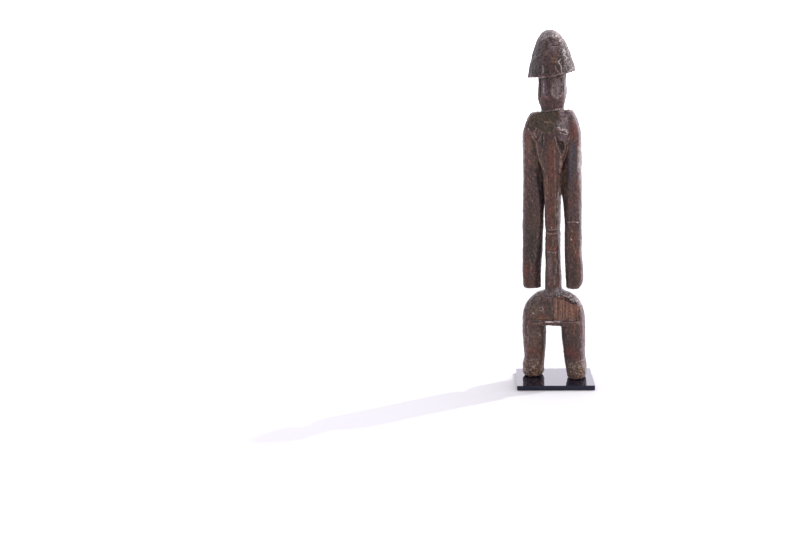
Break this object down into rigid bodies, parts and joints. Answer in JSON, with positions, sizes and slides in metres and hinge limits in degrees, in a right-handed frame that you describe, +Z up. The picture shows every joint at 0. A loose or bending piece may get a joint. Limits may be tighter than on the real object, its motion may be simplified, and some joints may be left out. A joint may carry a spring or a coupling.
{
  "type": "carved wooden figure",
  "caption": "Slender carved wooden standing figure with a bell-shaped cap and long hanging arms, fitted to a thin glossy rectangular display plate.",
  "frame": {"origin": "centre of the display plate's underside, which is the plane the object stands on", "axes": "+Z up along the figure, +X to the viewer's right and +Y to the back of the plate; the figure looks towards -Y, turned 12 degrees on the plate towards -X"},
  "size_m": [0.11, 0.092, 0.5033],
  "materials": {
    "carved_wood": "dark reddish brown hardwood with a worn, slightly waxy old patina, paler on rubbed edges and on one split patch",
    "black_gloss": "black cast acrylic sheet, polished to a mirror on top and on its edges"
  },
  "bodies": {
    "root": {"figure": "carved_wood", "display_plate": "black_gloss"}
  },
  "joints": []
}
